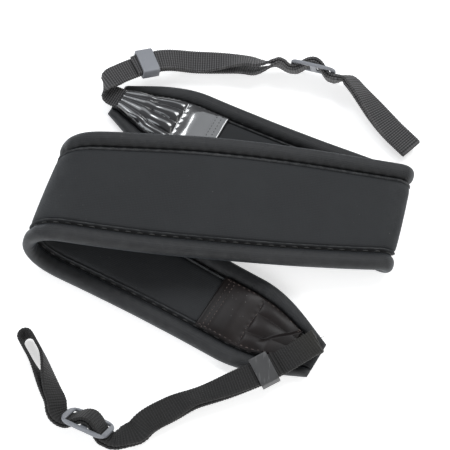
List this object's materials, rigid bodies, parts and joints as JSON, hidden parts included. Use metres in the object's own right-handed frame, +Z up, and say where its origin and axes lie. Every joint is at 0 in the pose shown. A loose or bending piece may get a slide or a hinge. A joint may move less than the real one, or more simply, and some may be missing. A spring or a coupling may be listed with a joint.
{
  "type": "camera neck strap",
  "caption": "Padded camera neck strap laid in a loose Z: soft foam band with rolled stitched edges, glossy gathered end patches and narrow webbing loops with keepers and sliders.",
  "frame": {"origin": "bottom centre of the bounding box, on the surface the strap lies on", "axes": "+X to the right along the front panel, +Y away from the viewer towards the far tail, +Z up"},
  "size_m": [0.1748, 0.194, 0.0276],
  "materials": {
    "foam_fabric": "matte knitted face on foam",
    "roll_fabric": "matte stretched knit, lightly sheened",
    "patent_vinyl": "glossy, gathered",
    "webbing": "cross-ribbed weave",
    "grey_plastic": "smooth moulded"
  },
  "bodies": {
    "root": {"pad_panel": "foam_fabric", "edge_roll_front": "roll_fabric", "edge_roll_back": "roll_fabric", "end_patch_near": "patent_vinyl", "end_patch_far": "patent_vinyl", "webbing_near": "webbing", "webbing_far": "webbing", "keeper_near": "grey_plastic", "keeper_far": "grey_plastic", "slider_near": "grey_plastic", "slider_far": "grey_plastic"}
  },
  "joints": []
}
